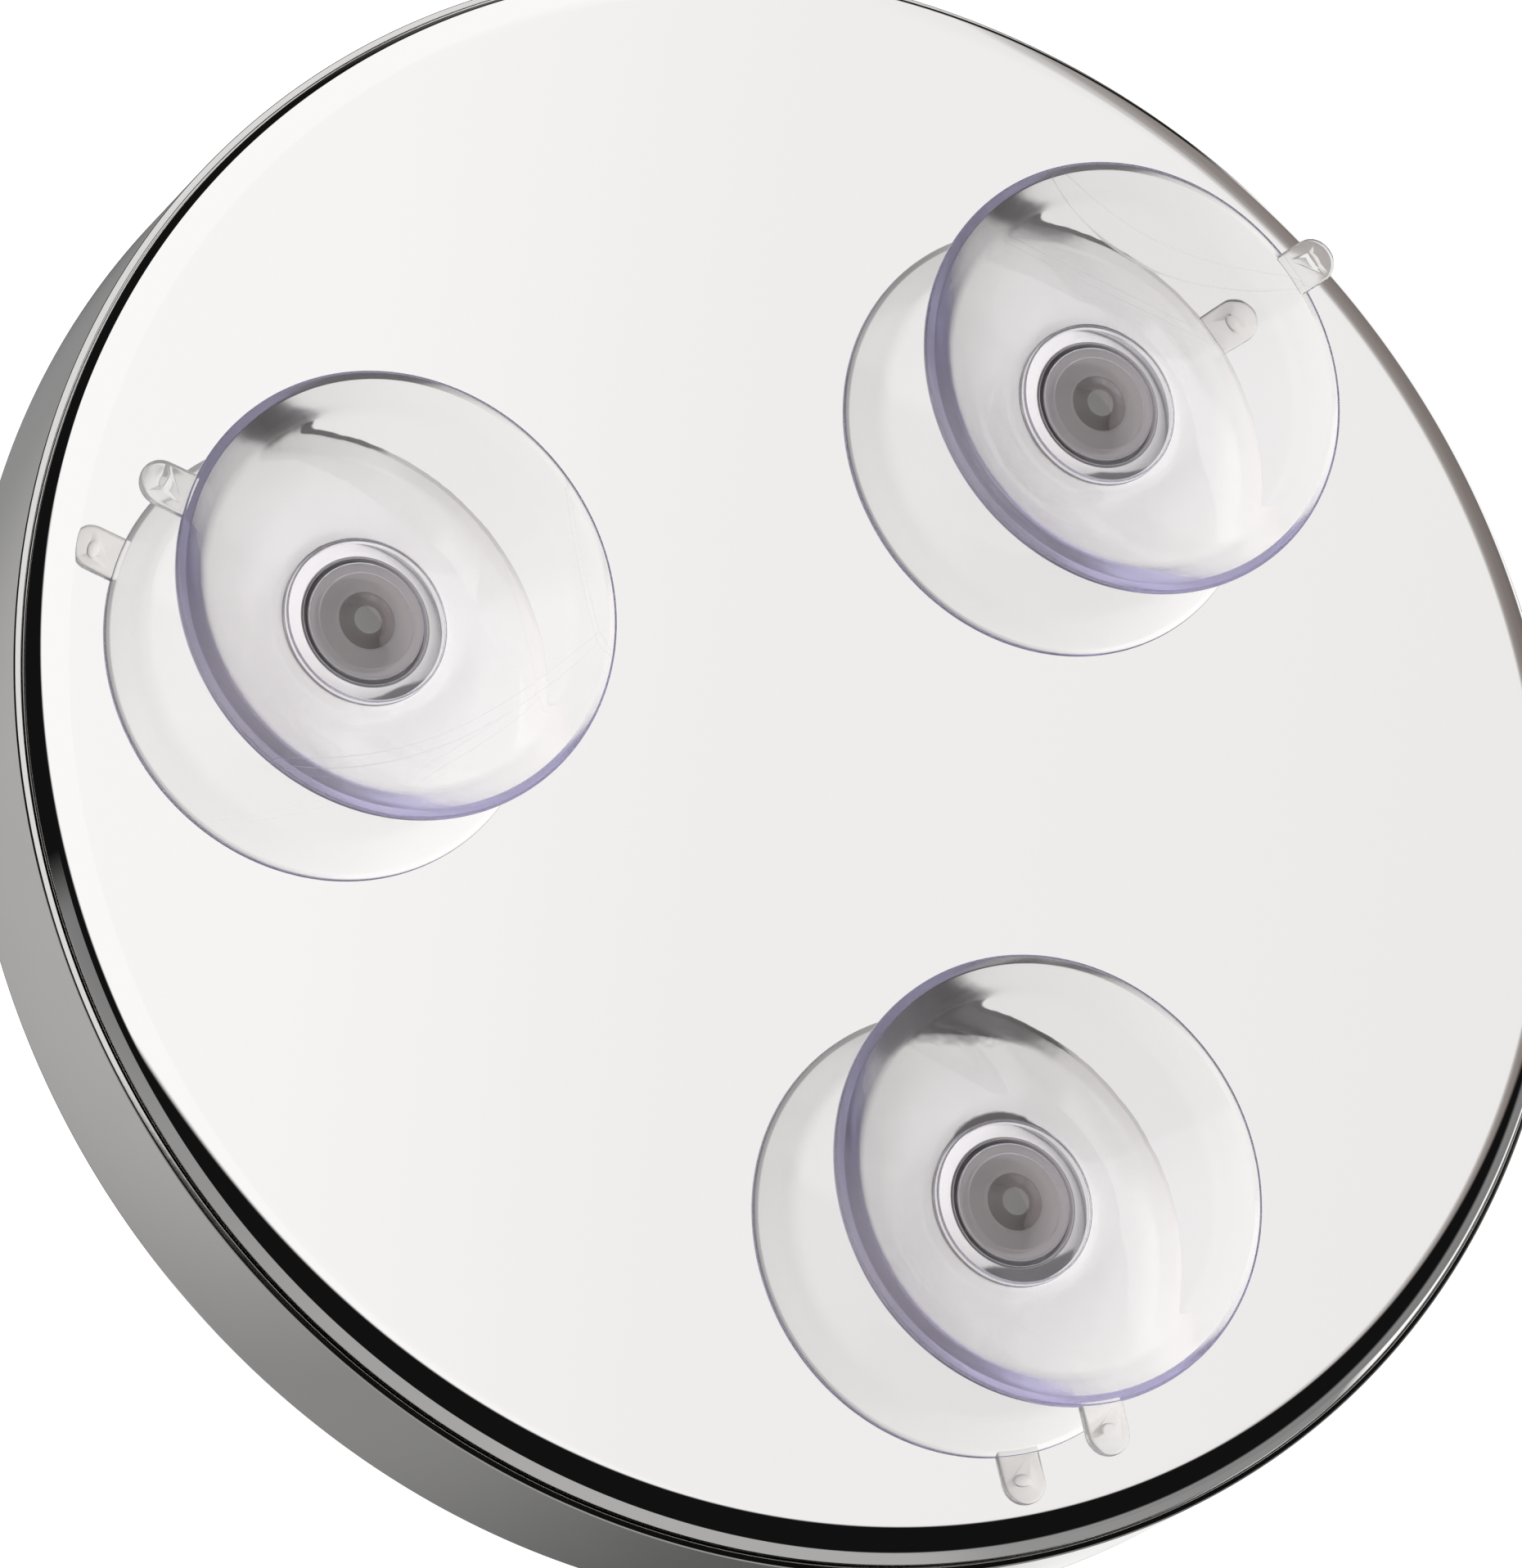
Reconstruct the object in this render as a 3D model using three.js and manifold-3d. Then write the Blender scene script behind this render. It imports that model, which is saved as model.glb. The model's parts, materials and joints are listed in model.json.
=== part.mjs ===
// Round wall mirror held by three suction cups, seen here from its polished rear plate.
// Millimetres. The mirror's axis is Y: the wall is at +Y, the mirror face looks along -Y, +Z is up.
// The origin is the centre of the plane where the three cup lips meet the wall.
import * as THREE from 'three';
import { mergeVertices } from 'three/addons/utils/BufferGeometryUtils.js';
import Module from 'manifold-3d';

const wasm = await Module();
wasm.setup();

// Whole object
const rimRadius = 82.3; // housing radius at its rear edge
const housingDepth = 19.4; // polished plate face to the front edge
const cupStandoff = 10.5; // polished plate face to the wall
const cupPitchRadius = 48.7; // mirror axis to each cup axis
const cupCount = 3;
const seatGap = 0.3; // between pieces that rest on each other
const cutOverrun = 1.0; // how far every cutting body runs past the face it cuts

// Housing ring
const wallDraft = 0.3; // radius lost from the rear edge to the front edge
const ringWall = 1.8;
const ringEdgeDrop = 2.9; // plate face down to the ring's rear edge
const ringEdgeRound = 0.45;
const upstandWidth = 0.65; // thin rear edge that stands round the plate's flange
const frontLipWidth = 5.0; // how far the front lip reaches in over the glass
const frontLipThickness = 1.2;
const frontRound = 1.0;
const lipEdgeRound = 0.4;

// Rear plate
const plateThickness = 1.2;
const shoulderReach = 1.4; // radial run of the rounded shoulder
const shoulderDrop = 2.1;
const flangeWidth = 1.5;
const flangeSlope = 0.4; // how far the flange falls from the shoulder to its edge
const flangeThickness = 0.7;
const seamGap = 0.2; // open seam between the flange and the ring's rear edge
const skirtThickness = 1.2;
const skirtGap = 0.25; // skirt to the ring's inner wall
const beadDrop = 2.2; // flange underside to the middle of the snap bead
const beadHeight = 0.5;
const beadHalfWidth = 0.8;

// Mirror glass and what holds it
const glassThickness = 3.0;
const glassGap = 0.4; // glass edge to the ring's inner wall
const mirrorCurveRadius = 750.0; // hollow face that enlarges the image
const gasketWidth = 5.0;
const gasketThickness = 1.5;
const spacerHeight = 3.0;
const spacerWidth = 4.2;
const spacerWeb = 1.4; // upright wall and base of the spacer's angle section
const backingThickness = 1.0;
const backingGap = 1.2; // backing sheet's edge to the gasket
const padRadius = 10.0;

// Suction cup, heights counted from the plate face
const cupRadius = 22.5;
const lipLand = 0.75; // flat ring that touches the wall
const lipEdge = 0.7; // height of the lip's outer edge
const lipEdgeBreak = 0.2;
const hollowFloor = 3.2; // flat middle of the hollow face above the plate face
const hollowFlatRadius = 5.3; // where the flat middle starts to curve
const hollowConeRadius = 10.3; // where the curve has become a straight cone
const rimBevelReach = 2.5;
const rimBevelDrop = 2.15;
const skirtFootRadius = 9.3; // where the cone of the skirt's back meets the collar
const skirtFootHeight = 1.2;
const collarRadius = 8.5;
const collarHeight = 0.8;
const plateGap = 0.25; // collar and head to the faces of the plate
const neckRadius = 6.5;
const neckGap = 0.2; // neck to the wall of its hole
const headRadius = 7.9;
const headLength = 4.4;
const headShoulder = 1.5; // straight part of the head behind the plate
const headTipRadius = 6.3;
const boreRadius = 4.9;
const boreHeight = 1.0; // roof of the wide bore above the plate face
const pinBoreRadius = 2.4;
const pinBoreHeight = 1.9; // roof of the narrow bore above the plate face
const tabWidth = 4.6;
const tabLength = 5.0; // lip edge to the end of the pull tab
const tabThickness = 0.9;
const tabSink = 0.2; // pull tab's face below the lip

// Turns, in degrees from +X towards +Z
const firstCupAngle = 90;
const tabTurns = [11.8, 15.8, 9.6]; // each cup's pull tab against the line from the mirror's axis

// Facets
const wideSegments = 64;
const cupSegments = 40;
const padSegments = 24;
const roundSteps = 3;
const dishSteps = 5;

// Sizes that follow from the ones above
const plateY = -cupStandoff;
const frontRadius = rimRadius - wallDraft;
const ringInner = frontRadius - ringWall;
const flangeRadius = rimRadius - upstandWidth - seamGap;
const plateFlatRadius = flangeRadius - flangeWidth - shoulderReach;
const flangeUnder = shoulderDrop + flangeSlope + flangeThickness;
const glassRadius = ringInner - glassGap;
const glassEdgeDepth = housingDepth - frontLipThickness - seatGap;
const gasketInner = glassRadius - gasketWidth;
const gasketTop = glassBackDepth(gasketInner) - seatGap - gasketThickness;
const spacerTop = gasketTop - seatGap - spacerHeight;
const skirtEnd = spacerTop - seatGap;
const skirtRadius = ringInner - skirtGap;
const backingRadius = gasketInner - backingGap;
const holeRadius = neckRadius + neckGap;

function point(radius, depth) {
  return new THREE.Vector2(radius, plateY - depth);
}

function sag(radius) {
  return mirrorCurveRadius - Math.sqrt(mirrorCurveRadius ** 2 - radius ** 2);
}

function glassFrontDepth(radius) {
  return glassEdgeDepth - sag(glassRadius) + sag(radius);
}

function glassBackDepth(radius) {
  return glassFrontDepth(radius) - glassThickness;
}

// Quarter-round between two profile points; the curve leaves the first one along the radius axis
// when outFirst is true, and along the mirror's axis when it is false.
function quarter(from, to, outFirst, steps = roundSteps) {
  const points = [];
  for (let i = 0; i <= steps; i += 1) {
    const turn = (i / steps) * (Math.PI / 2);
    const along = outFirst ? Math.sin(turn) : 1 - Math.cos(turn);
    const down = outFirst ? 1 - Math.cos(turn) : Math.sin(turn);
    points.push(new THREE.Vector2(from.x + (to.x - from.x) * along, from.y + (to.y - from.y) * down));
  }
  return points;
}

// Points from radius a to radius b on a dished surface whose depth is depthAt(radius).
function dish(a, b, depthAt, steps = dishSteps) {
  const points = [];
  for (let i = 0; i <= steps; i += 1) {
    const radius = a + ((b - a) * i) / steps;
    points.push(point(radius, depthAt(radius)));
  }
  return points;
}

// Leaves only positions, joins equal points, drops empty triangles and turns the faces outward.
function tidySolid(geometry) {
  const bare = geometry.clone();
  bare.deleteAttribute('normal');
  bare.deleteAttribute('uv');
  const merged = mergeVertices(bare, 1e-4);
  const corners = merged.getAttribute('position');
  const kept = [];
  let volume = 0;
  const [a, b, c] = [new THREE.Vector3(), new THREE.Vector3(), new THREE.Vector3()];
  for (let i = 0; i < merged.index.count; i += 3) {
    const [p, q, r] = [merged.index.getX(i), merged.index.getX(i + 1), merged.index.getX(i + 2)];
    if (p === q || q === r || r === p) continue;
    a.fromBufferAttribute(corners, p);
    b.fromBufferAttribute(corners, q);
    c.fromBufferAttribute(corners, r);
    volume += a.dot(b.cross(c));
    kept.push(p, q, r);
  }
  if (volume < 0) kept.reverse();
  merged.setIndex(kept);
  return merged;
}

function toSolid(geometry) {
  const tidy = tidySolid(geometry);
  const mesh = new wasm.Mesh({
    numProp: 3,
    vertProperties: new Float32Array(tidy.getAttribute('position').array),
    triVerts: new Uint32Array(tidy.index.array),
  });
  return new wasm.Manifold(mesh);
}

function toGeometry(solid) {
  const mesh = solid.getMesh();
  const geometry = new THREE.BufferGeometry();
  geometry.setAttribute('position', new THREE.BufferAttribute(mesh.vertProperties, 3));
  geometry.setIndex(new THREE.BufferAttribute(mesh.triVerts, 1));
  geometry.computeVertexNormals();
  return geometry;
}

// A turned piece. A profile that leaves the axis open is closed back to its first point.
function turned(profile, segments = wideSegments) {
  const onAxis = profile[0].x === 0 && profile[profile.length - 1].x === 0;
  const closed = onAxis ? profile : [...profile, profile[0].clone()];
  return new THREE.LatheGeometry(closed, segments);
}

// A cylinder along the mirror's axis between two depths, centred at (x, z).
function post(radius, nearDepth, farDepth, x, z, segments) {
  const geometry = new THREE.CylinderGeometry(radius, radius, farDepth - nearDepth, segments);
  geometry.translate(x, plateY - (nearDepth + farDepth) / 2, z);
  return geometry;
}

function onPitch(index, turn = 0) {
  const angle = THREE.MathUtils.degToRad(firstCupAngle + turn + (index * 360) / cupCount);
  return { x: cupPitchRadius * Math.cos(angle), z: cupPitchRadius * Math.sin(angle) };
}

const finishes = {
  chromeRing: { color: 0xb9b7b4, roughness: 0.22, metalness: 1.0 },
  chromePlate: { color: 0xf1eff0, roughness: 0.04, metalness: 1.0 },
  clearVinyl: { color: 0xdcdce6, roughness: 0.08, metalness: 0.0, transparent: true, opacity: 0.45 },
  silverGlass: { color: 0xe9edee, roughness: 0.02, metalness: 1.0 },
  greyFoam: { color: 0x55575a, roughness: 0.95, metalness: 0.0 },
  whitePlastic: { color: 0xe6e5e0, roughness: 0.5, metalness: 0.0 },
  backingPaint: { color: 0x6d7276, roughness: 0.8, metalness: 0.0 },
};

function piece(name, geometry, finish) {
  const mesh = new THREE.Mesh(geometry, new THREE.MeshStandardMaterial(finishes[finish]));
  mesh.name = name;
  return mesh;
}

function housingRing() {
  const edge = ringEdgeDrop;
  const ledge = flangeUnder + seatGap;
  const beadMiddle = flangeUnder + beadDrop;
  const lipInner = frontRadius - frontLipWidth;
  const lipBack = housingDepth - frontLipThickness;
  const profile = [
    point(flangeRadius + seamGap, ledge),
    point(flangeRadius + seamGap, edge),
    ...quarter(point(rimRadius - ringEdgeRound, edge), point(rimRadius, edge + ringEdgeRound), true),
    ...quarter(
      point(frontRadius, housingDepth - frontRound),
      point(frontRadius - frontRound, housingDepth),
      false,
    ),
    ...quarter(
      point(lipInner + lipEdgeRound, housingDepth),
      point(lipInner, housingDepth - lipEdgeRound),
      true,
    ),
    point(lipInner, lipBack),
    point(ringInner, lipBack),
    point(ringInner, beadMiddle + beadHalfWidth),
    point(ringInner + beadHeight, beadMiddle),
    point(ringInner, beadMiddle - beadHalfWidth),
    point(ringInner, ledge),
  ];
  return piece('housing_ring', toGeometry(toSolid(turned(profile))), 'chromeRing');
}

function rearPlate() {
  const shoulderRadius = plateFlatRadius + shoulderReach;
  const beadMiddle = flangeUnder + beadDrop;
  const skirtInner = skirtRadius - skirtThickness;
  const profile = [
    point(0, 0),
    ...quarter(point(plateFlatRadius, 0), point(shoulderRadius, shoulderDrop), true, roundSteps + 2),
    point(flangeRadius, shoulderDrop + flangeSlope),
    point(flangeRadius, flangeUnder),
    point(skirtRadius, flangeUnder),
    point(skirtRadius, beadMiddle - beadHalfWidth),
    point(skirtRadius + beadHeight, beadMiddle),
    point(skirtRadius, beadMiddle + beadHalfWidth),
    point(skirtRadius, skirtEnd),
    point(skirtInner, skirtEnd),
    point(skirtInner, flangeUnder),
    point(plateFlatRadius - plateThickness, plateThickness),
    point(0, plateThickness),
  ];
  let plate = toSolid(turned(profile));
  for (let i = 0; i < cupCount; i += 1) {
    const { x, z } = onPitch(i);
    const drill = post(holeRadius, -cutOverrun, plateThickness + cutOverrun, x, z, cupSegments);
    plate = plate.subtract(toSolid(drill));
  }
  return piece('rear_plate', toGeometry(plate), 'chromePlate');
}

function mirrorGlass() {
  const profile = [
    ...dish(0, glassRadius, glassFrontDepth),
    ...dish(glassRadius, 0, glassBackDepth),
  ];
  return piece('mirror_glass', toGeometry(toSolid(turned(profile))), 'silverGlass');
}

function glassGasket() {
  const underside = (radius) => glassBackDepth(radius) - seatGap;
  const profile = [
    point(gasketInner, gasketTop),
    point(gasketInner, underside(gasketInner)),
    point(glassRadius, underside(glassRadius)),
    point(glassRadius, gasketTop),
  ];
  return piece('glass_gasket', toGeometry(toSolid(turned(profile))), 'greyFoam');
}

function spacerRing() {
  const base = gasketTop - seatGap;
  const inner = glassRadius - spacerWidth;
  const profile = [
    point(glassRadius, spacerTop),
    point(glassRadius, base),
    point(inner, base),
    point(inner, base - spacerWeb),
    point(glassRadius - spacerWeb, base - spacerWeb),
    point(glassRadius - spacerWeb, spacerTop),
  ];
  return piece('spacer_ring', toGeometry(toSolid(turned(profile))), 'whitePlastic');
}

function backingFront(radius) {
  return glassBackDepth(radius) - seatGap;
}

function backingRear(radius) {
  return backingFront(radius) - backingThickness;
}

function backingSheet() {
  const profile = [
    ...dish(0, backingRadius, backingFront, dishSteps - 1),
    ...dish(backingRadius, 0, backingRear, dishSteps - 1),
  ];
  return piece('backing_sheet', toGeometry(toSolid(turned(profile))), 'backingPaint');
}

// Foam blocks between the backing sheet and the plate, halfway between the cups, cut to the dish.
function foamPads() {
  const clearOfSheet = (radius) => backingRear(radius) - seatGap;
  const deepest = clearOfSheet(backingRadius) + cutOverrun;
  const dished = toSolid(turned([
    ...dish(0, backingRadius, clearOfSheet),
    point(backingRadius, deepest),
    point(0, deepest),
  ]));
  const pads = [];
  for (let i = 0; i < cupCount; i += 1) {
    const { x, z } = onPitch(i, 180 / cupCount);
    const block = post(padRadius, plateThickness + seatGap, deepest, x, z, padSegments);
    const pad = toSolid(block).subtract(dished);
    pads.push(piece(`foam_pad_${i + 1}`, toGeometry(pad), 'greyFoam'));
  }
  return pads;
}

// Profile of a suction cup about its own axis, from the hollow face round to the roof of the bore.
function cupProfile() {
  const at = (radius, height) => new THREE.Vector2(radius, height);
  const landInner = cupRadius - lipEdgeBreak - lipLand;
  const bend = hollowConeRadius - hollowFlatRadius;
  const rise = (cupStandoff - hollowFloor) / (landInner - hollowFlatRadius - bend / 2);
  const hollow = [at(0, hollowFloor)];
  for (let i = 0; i < dishSteps; i += 1) {
    const share = i / (dishSteps - 1);
    const height = hollowFloor + (rise * bend * share ** 2) / 2;
    hollow.push(at(hollowFlatRadius + bend * share, height));
  }
  const bevelRadius = cupRadius - rimBevelReach;
  const bevelHeight = cupStandoff - lipEdge - rimBevelDrop;
  const headBack = -plateThickness - plateGap;
  return [
    ...hollow,
    at(landInner, cupStandoff),
    at(cupRadius - lipEdgeBreak, cupStandoff),
    at(cupRadius, cupStandoff - lipEdgeBreak),
    at(cupRadius, cupStandoff - lipEdge),
    at(bevelRadius, bevelHeight),
    at(skirtFootRadius, skirtFootHeight),
    at(collarRadius, collarHeight),
    at(collarRadius, plateGap),
    at(neckRadius, plateGap),
    at(neckRadius, headBack),
    at(headRadius, headBack),
    at(headRadius, headBack - headShoulder),
    at(headTipRadius, headBack - headLength),
    at(boreRadius, headBack - headLength),
    at(boreRadius, boreHeight),
    at(pinBoreRadius, boreHeight),
    at(pinBoreRadius, pinBoreHeight),
    at(0, pinBoreHeight),
  ];
}

// The pull tab: a flat tongue with a round end, its root buried in the lip.
function pullTab() {
  const root = cupRadius - lipLand;
  const half = tabWidth / 2;
  const outline = new THREE.Shape();
  outline.moveTo(root, -half);
  outline.lineTo(cupRadius + tabLength - half, -half);
  outline.absarc(cupRadius + tabLength - half, 0, half, -Math.PI / 2, Math.PI / 2, false);
  outline.lineTo(root, half);
  outline.closePath();
  const tab = new THREE.ExtrudeGeometry(outline, {
    depth: tabThickness,
    bevelEnabled: false,
    curveSegments: roundSteps * 3,
  });
  tab.rotateX(Math.PI / 2);
  tab.translate(0, cupStandoff - tabSink, 0);
  return tab;
}

function suctionCups() {
  const cup = toSolid(turned(cupProfile(), cupSegments)).add(toSolid(pullTab()));
  const cups = [];
  for (let i = 0; i < cupCount; i += 1) {
    const { x, z } = onPitch(i);
    const seat = new THREE.Group();
    seat.position.set(x, plateY, z);
    const tabAngle = firstCupAngle + (i * 360) / cupCount + tabTurns[i];
    seat.rotation.y = -THREE.MathUtils.degToRad(tabAngle);
    seat.add(piece(`suction_cup_${i + 1}`, toGeometry(cup), 'clearVinyl'));
    cups.push(seat);
  }
  return cups;
}

const wallMirror = new THREE.Group();
wallMirror.add(
  housingRing(),
  rearPlate(),
  mirrorGlass(),
  glassGasket(),
  spacerRing(),
  backingSheet(),
  ...foamPads(),
  ...suctionCups(),
);

export default wallMirror;
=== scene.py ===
"""Looks of a round wall mirror that hangs on three clear suction cups, seen from its polished rear plate."""
import json
import math

import bmesh
import bpy
import numpy as np
from mathutils import Matrix, Vector


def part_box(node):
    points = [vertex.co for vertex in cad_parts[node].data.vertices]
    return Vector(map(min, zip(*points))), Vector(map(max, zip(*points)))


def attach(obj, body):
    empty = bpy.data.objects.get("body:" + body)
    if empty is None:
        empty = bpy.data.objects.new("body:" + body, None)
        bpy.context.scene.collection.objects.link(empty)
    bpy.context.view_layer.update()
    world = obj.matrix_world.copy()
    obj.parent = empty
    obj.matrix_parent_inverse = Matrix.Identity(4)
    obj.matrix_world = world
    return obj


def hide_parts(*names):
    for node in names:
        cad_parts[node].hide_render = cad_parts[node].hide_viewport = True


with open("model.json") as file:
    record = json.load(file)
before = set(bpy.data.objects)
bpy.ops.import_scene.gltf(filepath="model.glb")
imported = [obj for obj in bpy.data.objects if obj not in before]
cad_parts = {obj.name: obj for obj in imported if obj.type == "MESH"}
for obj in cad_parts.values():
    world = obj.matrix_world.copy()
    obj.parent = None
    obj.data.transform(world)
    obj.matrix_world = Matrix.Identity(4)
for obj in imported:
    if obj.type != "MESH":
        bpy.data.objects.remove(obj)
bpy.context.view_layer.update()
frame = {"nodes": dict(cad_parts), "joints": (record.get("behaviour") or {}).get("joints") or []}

MM = 0.001
FULL_TURN = 2 * math.pi

# Places that the frame gives
JOINTS = {joint["name"]: joint for joint in frame["joints"]}
CUP_BODIES = ["cup_1", "cup_2", "cup_3"]
CUP_AXES = [Vector(JOINTS[body + "_spin"]["pos_m"]) for body in CUP_BODIES]
PLATE_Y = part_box("rear_plate")[1].y
FRONT_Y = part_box("housing_ring")[0].y
RIM_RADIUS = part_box("housing_ring")[1].x
FLANGE_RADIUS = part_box("rear_plate")[1].x
GLASS_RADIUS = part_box("mirror_glass")[1].x
GLASS_EDGE_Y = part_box("mirror_glass")[0].y
SKIRT_END_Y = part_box("rear_plate")[0].y
STANDOFF = -PLATE_Y
DEPTH = PLATE_Y - FRONT_Y

# Steps round the turned pieces
WIDE_STEPS = 384
GLASS_STEPS = 256
CUP_STEPS = 192
HOLE_STEPS = 96
PAD_STEPS = 64
MARK_STEPS = 32


def rounded(corners, steps):
    """Points along a profile of (radius, height, cut) corners; cut is how far the rounding reaches."""
    points = []
    for i, (r, h, cut) in enumerate(corners):
        here = np.array([r, h])
        if cut == 0 or i in (0, len(corners) - 1):
            points.append(here)
            continue
        before = np.array(corners[i - 1][:2]) - here
        after = np.array(corners[i + 1][:2]) - here
        start = here + before / np.linalg.norm(before) * cut
        end = here + after / np.linalg.norm(after) * cut
        for s in np.linspace(0, 1, steps + 1):
            points.append(start * (1 - s) ** 2 + here * 2 * s * (1 - s) + end * s ** 2)
    return points


def curve_points(radii, height_at):
    return [(r, height_at(r), 0) for r in radii]


def link_mesh(name, verts, faces):
    mesh = bpy.data.meshes.new(name)
    mesh.from_pydata(verts, [], faces)
    obj = bpy.data.objects.new(name, mesh)
    bpy.context.scene.collection.objects.link(obj)
    return obj


def face_outward(mesh):
    work = bmesh.new()
    work.from_mesh(mesh)
    bmesh.ops.recalc_face_normals(work, faces=work.faces)
    if work.calc_volume(signed=True) < 0:
        bmesh.ops.reverse_faces(work, faces=work.faces)
    work.to_mesh(mesh)
    work.free()


def turned_mesh(name, points, steps, centre=(0, 0, 0), closed=True):
    """A piece turned about an axis along Y. Points on the axis become one vertex each."""
    on_axis = 1e-7
    verts, rings = [], []
    for r, h in points:
        if r < on_axis:
            rings.append([len(verts)] * steps)
            verts.append((centre[0], centre[1] + h, centre[2]))
            continue
        rings.append(list(range(len(verts), len(verts) + steps)))
        for k in range(steps):
            angle = FULL_TURN * k / steps
            verts.append((centre[0] + r * math.cos(angle), centre[1] + h, centre[2] + r * math.sin(angle)))
    faces = []
    pairs = list(zip(rings, rings[1:]))
    if closed:
        pairs.append((rings[-1], rings[0]))
    for low, high in pairs:
        for k in range(steps):
            n = (k + 1) % steps
            corners = list(dict.fromkeys([low[k], low[n], high[n], high[k]]))
            if len(corners) > 2:
                faces.append(corners)
    obj = link_mesh(name, verts, faces)
    obj.data.validate()
    face_outward(obj.data)
    return obj


def smooth(obj, sharp_degrees=32):
    obj.data.shade_smooth()
    obj.data.set_sharp_from_angle(angle=math.radians(sharp_degrees))


def apply_boolean(obj, other, operation):
    modifier = obj.modifiers.new("joined", "BOOLEAN")
    modifier.operation = operation
    modifier.solver = "EXACT"
    modifier.object = other
    bpy.context.view_layer.update()
    shape = bpy.data.meshes.new_from_object(obj.evaluated_get(bpy.context.evaluated_depsgraph_get()))
    obj.modifiers.clear()
    old = obj.data
    obj.data = shape
    shape.name = obj.name
    bpy.data.meshes.remove(old)
    bpy.data.objects.remove(other)


class Tree:
    """A node tree with short calls to add and join its nodes."""

    def __init__(self, tree, output):
        self.tree = tree
        self.tree.nodes.clear()
        self.output = self.add(output)

    def add(self, kind, **settings):
        node = self.tree.nodes.new(kind)
        for key, value in settings.items():
            setattr(node, key, value)
        return node

    def join(self, source, target):
        self.tree.links.new(source, target)

    def fill(self, socket, value):
        """Joins an output to the socket, or sets the socket to a value, where a colour may be one number."""
        if hasattr(value, "links"):
            self.join(value, socket)
        elif socket.type == "RGBA" and not isinstance(value, tuple):
            socket.default_value = (value, value, value, 1)
        else:
            socket.default_value = value

    def maths(self, operation, *values):
        node = self.add("ShaderNodeMath", operation=operation)
        for socket, value in zip(node.inputs, values):
            self.fill(socket, value)
        return node.outputs[0]

    def mixed(self, factor, a, b, blend="MIX"):
        """Colours a and b mixed. The node's colour sockets go by number, as several share one name."""
        mix = self.add("ShaderNodeMix", data_type="RGBA", blend_type=blend)
        for index, value in ((0, factor), (6, a), (7, b)):
            self.fill(mix.inputs[index], value)
        return mix.outputs[2]

    def either(self, factor, first, second):
        """The second shader where factor is 1, and the first where it is 0."""
        both = self.add("ShaderNodeMixShader")
        for socket, source in zip(both.inputs, (factor, first.outputs[0], second.outputs[0])):
            self.join(source, socket)
        return both.outputs[0]

    def together(self, first, second):
        both = self.add("ShaderNodeAddShader")
        self.join(first.outputs[0], both.inputs[0])
        self.join(second.outputs[0], both.inputs[1])
        return both.outputs[0]

    def attribute(self, name):
        return self.add("ShaderNodeAttribute", attribute_name=name).outputs["Fac"]

    def ray(self, name):
        return self.add("ShaderNodeLightPath").outputs[name]


class Nodes(Tree):
    """The node tree of a new material. Its textures lie in the frame's metres."""

    def __init__(self, name):
        self.material = bpy.data.materials.new(name)
        self.material.use_nodes = True
        super().__init__(self.material.node_tree, "ShaderNodeOutputMaterial")

    def surface(self, **values):
        shader = self.add("ShaderNodeBsdfPrincipled")
        for key, value in values.items():
            shader.inputs[key.replace("_", " ")].default_value = value
        self.join(shader.outputs["BSDF"], self.output.inputs["Surface"])
        return shader

    def coloured(self, kind, colour, **values):
        """A plain shader or volume node of that kind."""
        node = self.add(kind)
        node.inputs["Color"].default_value = colour
        for key, value in values.items():
            node.inputs[key].default_value = value
        return node

    def place(self):
        return self.add("ShaderNodeTexCoord").outputs["Object"]

    def noise(self, scale, detail=3.0):
        noise = self.add("ShaderNodeTexNoise")
        noise.inputs["Scale"].default_value = scale
        noise.inputs["Detail"].default_value = detail
        self.join(self.place(), noise.inputs["Vector"])
        return noise.outputs["Fac"]

    def cells(self, scale, feature):
        cells = self.add("ShaderNodeTexVoronoi", feature=feature)
        cells.inputs["Scale"].default_value = scale
        self.join(self.place(), cells.inputs["Vector"])
        return cells.outputs["Distance"]

    def ranged(self, value, low, high, from_low=0.3, from_high=0.7):
        """Goes from low to high as the value goes from from_low to from_high, which as given suit a noise."""
        span = self.add("ShaderNodeMapRange")
        span.inputs["From Min"].default_value = from_low
        span.inputs["From Max"].default_value = from_high
        span.inputs["To Min"].default_value = low
        span.inputs["To Max"].default_value = high
        self.join(value, span.inputs["Value"])
        return span.outputs["Result"]

    def bump(self, height, shader, strength, distance):
        bump = self.add("ShaderNodeBump")
        bump.inputs["Strength"].default_value = strength
        bump.inputs["Distance"].default_value = distance
        self.join(height, bump.inputs["Height"])
        self.join(bump.outputs["Normal"], shader.inputs["Normal"])


# Colours of the materials
CHROME = (0.955, 0.94, 0.934, 1)
DULLER_CHROME = (0.70, 0.69, 0.68, 1)
SILVERING = (0.90, 0.93, 0.925, 1)
CLEAR_VINYL = (0.99, 0.985, 0.968, 1)
# Darker tint for the cups' stems; in the stem's bore it is painted shade of the hole's depth.
VINYL_TINT_AND_SHADE = (0.36, 0.285, 0.25, 1)
VINYL_DEPTH = (0.22, 0.10, 0.82, 1)
VINYL_HAZE = (0.95, 0.94, 1.0, 1)
FOAM = (0.74, 0.68, 0.66)
PALE_SHEET = (0.78, 0.77, 0.75)
WHITE_PLASTIC = (0.80, 0.80, 0.78)
WHITE = (1.0, 1.0, 1.0, 1)

# Cells are counted to the metre. The scratches run along the edges of large cells, and their width is
# a share of one cell.
SCRATCH_CELLS = 14.0
SCRATCH_WIDTH = 0.0021
SCRATCH_SATIN = 0.32
FOAM_CELLS = 1400.0
FOAM_SHADE = 0.7


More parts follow.
